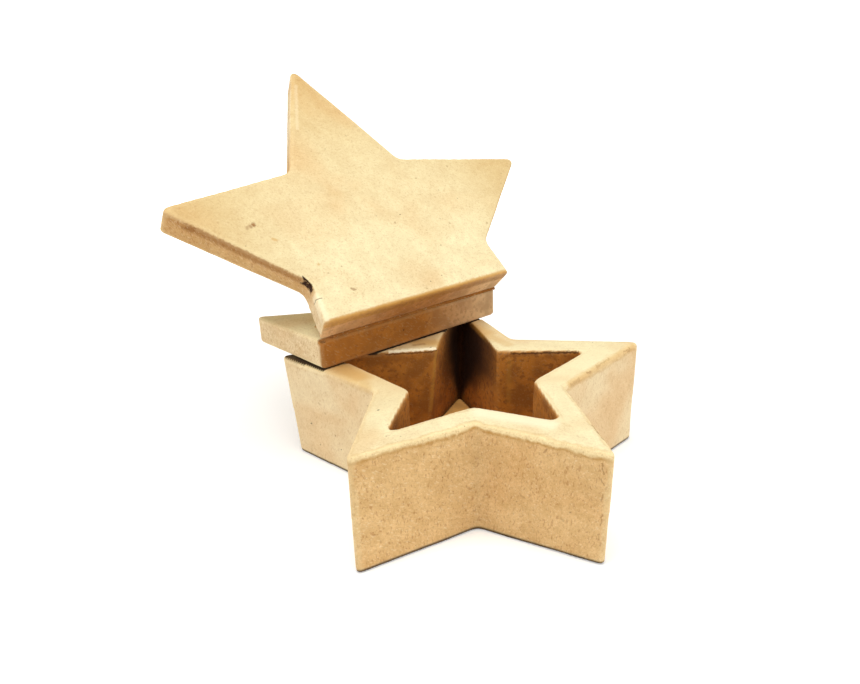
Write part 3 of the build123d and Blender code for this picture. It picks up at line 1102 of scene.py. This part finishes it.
def pulpMaterial(name, p, sheets):
    material = bpy.data.materials.new(name)
    tree = emptyTree(material)
    coords = addNode(tree, "ShaderNodeTexCoord").outputs["Object"]
    signal = {**p["strengths"]}
    for label in ("flat", "cavity", "deep", "cut", "paleCut", "soiled", "worn", "shoulder", "fold", "pale",
                  "chips", "foot"):
        signal[label] = addNode(tree, "ShaderNodeAttribute", attribute_name=label).outputs["Fac"]
    for label, (along, across, detail, twist, turn, shift) in p["noises"].items():
        laid = addNode(tree, "ShaderNodeMapping", {
            "Vector": coords, "Location": (shift * mm, shift * mm, shift * mm),
            "Rotation": (math.radians(turn), math.radians(turn * 0.7), math.radians(turn)),
            "Scale": (along * mm, across * mm, across * mm),
        }, vector_type="TEXTURE")
        signal[label] = addNode(tree, "ShaderNodeTexNoise", {
            "Vector": laid, "Scale": 1.0, "Detail": detail, "Distortion": twist,
        })
    for label, (source, low, high, bottom, top) in p["ramps"].items():
        ramp = (signal[source], low, high, bottom, top)
        signal[label] = addNode(tree, "ShaderNodeMapRange", ramp, **smooth)

    # specks: in some cells of a grid a small dot, each as dark as its cell says
    for label, (apart, size, share) in p["specks"].items():
        grid = {"Vector": coords, "Scale": 1 / (apart * mm)}
        cell = addNode(tree, "ShaderNodeTexVoronoi", grid, feature="F1")
        dot = (cell.outputs["Distance"], size / 2, size, 1.0, 0.0)
        near = addNode(tree, "ShaderNodeMapRange", dot, **smooth)
        parts = addNode(tree, "ShaderNodeSeparateColor", (cell.outputs["Color"],))
        some = addNode(tree, "ShaderNodeMath", (parts, share), operation="LESS_THAN")
        dark = addNode(tree, "ShaderNodeMath", (some, parts.outputs[1]), operation="MULTIPLY")
        signal[label] = addNode(tree, "ShaderNodeMath", (near, dark), operation="MULTIPLY")

    # the folded paper's band over the edge, with ragged sides and a thin line at each
    uneven, middle = signal["shoulder"], 0
    for noise, reach in p["foldWander"].items():
        uneven = addNode(tree, "ShaderNodeMath", (signal[noise], reach, uneven), operation="MULTIPLY_ADD")
        middle += reach / 2
    for label, (at, soft, strength) in p["foldBand"].items():
        signal[label] = addNode(tree, "ShaderNodeMapRange", (
            uneven, at + middle - soft, at + middle + soft, 0.0, 1.0,
        ), **smooth)
        off = addNode(tree, "ShaderNodeMath", (uneven, at + middle), operation="SUBTRACT")
        far = addNode(tree, "ShaderNodeMath", (off,), operation="ABSOLUTE")
        signal[label + "Line"] = addNode(tree, "ShaderNodeMapRange", (
            far, *p["foldLineEdge"], strength, 0.0,
        ), **smooth)
    products = (
        ("band", "SUBTRACT", "upperSide", "lowerSide"),
        ("band", "MULTIPLY", "band", "fold"),
        ("foldLines", "MAXIMUM", "upperSideLine", "lowerSideLine"),
        *(("foldLines", "MULTIPLY", "foldLines", factor) for factor in ("ragged", "fold", "lineStrength")),
        ("darkChips", "MAXIMUM", "darkChipA", "darkChipB"),
        ("darkChips", "MAXIMUM", "darkChips", "darkChipC"),
        ("rubbed", "MULTIPLY", "rubbed", "ragged"),
        *((label, "MULTIPLY", label, "chips") for label in (
            "mottled", "pulped", "grained", "darkChips", "paleChips", "redChips", "rubbed")),
        ("paleFlat", "MULTIPLY", "pale", "flat"),
        ("speckled", "MULTIPLY", "specks", "speckStrength"),
        ("dotted", "MULTIPLY", "dots", "dotStrength"),
        ("grimy", "MULTIPLY", "foot", "footStrength"),
        ("bare", "MULTIPLY", "cut", "cutStain"),
        ("bare", "MAXIMUM", "bare", "cavity"),
        ("stained", "MAXIMUM", "patches", "smudges"),
        ("stained", "MULTIPLY", "stained", "bare"),
        ("deepened", "MULTIPLY", "deep", "paintedShadeStrength"),
        ("relief", "MULTIPLY", "grain", "grainRelief"),
        ("relief", "ADD", "relief", "pulp"),
        ("relief", "SUBTRACT", "relief", "foldLines"),
    )
    for label, operation, left, right in products:
        signal[label] = addNode(tree, "ShaderNodeMath", (signal[left], signal[right]), operation=operation)
    signal.update(addMarks(tree, coords, p, sheets))

    layers = (
        ("pale", "paleWall"),
        ("flat", "face"),
        ("paleFlat", "paleFace"),
        ("warmth", "warm"),
        ("soiled", "soil"),
        ("cavity", "cavity"),
        ("cut", "cut"),
        ("paleCut", "paleCut"),
        ("stained", "grime"),
        ("band", "fold"),
        ("mottled", "mottle"),
        ("pulped", "mottle"),
        ("grained", "mottle"),
        ("paleChips", "paleChip"),
        ("redChips", "redChip"),
        ("darkChips", "darkChip"),
        ("dotted", "darkChip"),
        ("speckled", "speck"),
        ("foldLines", "foldLine"),
        ("rubbed", "worn"),
        ("dirty", "grime"),
        ("deepened", "deep"),
        ("grimy", "deep"),
        *((colour + "Mark", colour) for colour in p["markColours"]),
    )
    colours = {**p, **p["markColours"]}
    colour = paint(p["wall"])
    for amount, coat in layers:
        mixed = addNode(tree, "ShaderNodeMix", {
            0: signal[amount], 6: colour, 7: paint(colours[coat]),
        }, data_type="RGBA")
        colour = mixed.outputs[2]
    bump = addNode(tree, "ShaderNodeBump", {
        "Height": signal["relief"], "Strength": p["bumpStrength"], "Distance": p["bump"] * mm,
    })
    shader = addNode(tree, "ShaderNodeBsdfPrincipled", {
        "Base Color": colour, "Roughness": signal["roughness"], "Normal": bump,
        "Specular IOR Level": p["specular"], "Sheen Weight": p["sheen"],
        "Sheen Roughness": p["sheenRoughness"],
    })
    output = addNode(tree, "ShaderNodeOutputMaterial")
    tree.links.new(shader.outputs[0], output.inputs["Surface"])
    return material


boxMarks = (rimMarks, innerRightMarks, innerLeftMarks, leftWallMarks, frontRightMarks)
floorPulp = {**kraftPulp, "cavity": "#FFC266", "grime": "#D09850"}  # painted light: warmer and brighter, as light comes off the walls, with paler stains
stripPaper = {**kraftPulp, "wall": "#C79658"}  # a plain sheet, browner than the pulp's cover
for piece, material in (
    (wallPiece, pulpMaterial("papierMacheBox", kraftPulp, boxMarks)),
    (floorPiece, pulpMaterial("papierMacheFloor", floorPulp, ())),
    (restPiece, pulpMaterial("papierMacheLid", kraftPulp, (restFrontMarks,))),
    (flapPiece, pulpMaterial("papierMacheFlap", kraftPulp, (flapFaceMarks,))),
    (stripPiece, pulpMaterial("kraftPaper", stripPaper, ())),
):
    piece.data.materials.clear()
    piece.data.materials.append(material)
print("materials made")

for piece in (wallPiece, floorPiece, restPiece):
    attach(piece, "box")
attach(flapPiece, "flap")
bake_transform(stripPiece)


# Floor, backdrop and soft studio light

studio = {
    "floorSize": 30.0,
    "floorTint": "#F4F2EE",
    # a glow for the camera and reflections alone, so that the matt sweep is nearly white
    "nearLift": 0.25,
    "farLift": 1.0,
    "liftFrom": 0.16,  # metres from the origin over which the glow grows
    "liftTo": 0.45,
    "ambient": 0.33,
    "top": {"place": (-0.05, -0.10, 0.75), "aim": (0, 0, 0.03), "size": 0.60, "power": 4.35},
    "left": {"place": (-0.72, -0.28, 0.36), "aim": (0, 0, 0.04), "size": 0.5, "power": 2.4},
    "right": {"place": (0.70, -0.32, 0.26), "aim": (0, 0, 0.04), "size": 0.5, "power": 2.8},
}


def softBox(name, p):
    data = bpy.data.lights.new(name, "AREA")
    data.shape = "SQUARE"
    data.size = p["size"]
    data.energy = p["power"]
    lamp = addObject(name, data)
    lamp.location = p["place"]
    towards = Vector(p["aim"]) - Vector(p["place"])
    lamp.rotation_mode = "QUATERNION"
    lamp.rotation_quaternion = towards.to_track_quat("-Z", "Y")


def seenDirectly(tree):  # 1 for the camera and in reflections, 0 for the light that things get
    rays = addNode(tree, "ShaderNodeLightPath").outputs
    direct = (rays["Is Camera Ray"], rays["Is Glossy Ray"])
    return addNode(tree, "ShaderNodeMath", direct, operation="MAXIMUM")


def makeStudio(p):
    size = p["floorSize"]
    mesh = bpy.data.meshes.new("studioFloor")
    corners = [(-size, -size, 0), (size, -size, 0), (size, size, 0), (-size, size, 0)]
    mesh.from_pydata(corners, [], [(0, 1, 2, 3)])
    table = addObject("studioFloor", mesh)
    material = bpy.data.materials.new("whiteSweep")
    tree = emptyTree(material)
    seen = seenDirectly(tree)
    coords = addNode(tree, "ShaderNodeTexCoord").outputs["Object"]
    away = addNode(tree, "ShaderNodeVectorMath", (coords,), operation="LENGTH")
    grown = addNode(tree, "ShaderNodeMapRange", (
        away.outputs["Value"], p["liftFrom"], p["liftTo"], p["nearLift"], p["farLift"],
    ), **smooth)
    lift = addNode(tree, "ShaderNodeMath", (seen, grown), operation="MULTIPLY")
    glow = addNode(tree, "ShaderNodeEmission", {"Color": (1, 1, 1, 1), "Strength": lift})
    matt = addNode(tree, "ShaderNodeBsdfDiffuse", {"Color": paint(p["floorTint"])})
    both = addNode(tree, "ShaderNodeAddShader", (glow, matt))
    output = addNode(tree, "ShaderNodeOutputMaterial")
    tree.links.new(both.outputs[0], output.inputs["Surface"])
    mesh.materials.append(material)
    world = bpy.data.worlds.new("studio")
    bpy.context.scene.world = world
    tree = emptyTree(world)
    seen = seenDirectly(tree)
    strength = addNode(tree, "ShaderNodeMapRange", {
        "Value": seen, "To Min": p["ambient"], "To Max": 1.0,
    })
    sky = addNode(tree, "ShaderNodeBackground", {"Color": (1, 1, 1, 1), "Strength": strength})
    output = addNode(tree, "ShaderNodeOutputWorld")
    tree.links.new(sky.outputs[0], output.inputs["Surface"])
    for name in ("top", "left", "right"):
        softBox(name + "SoftBox", p[name])


makeStudio(studio)
bpy.context.scene.view_settings.view_transform = "Standard"
print("studio made")
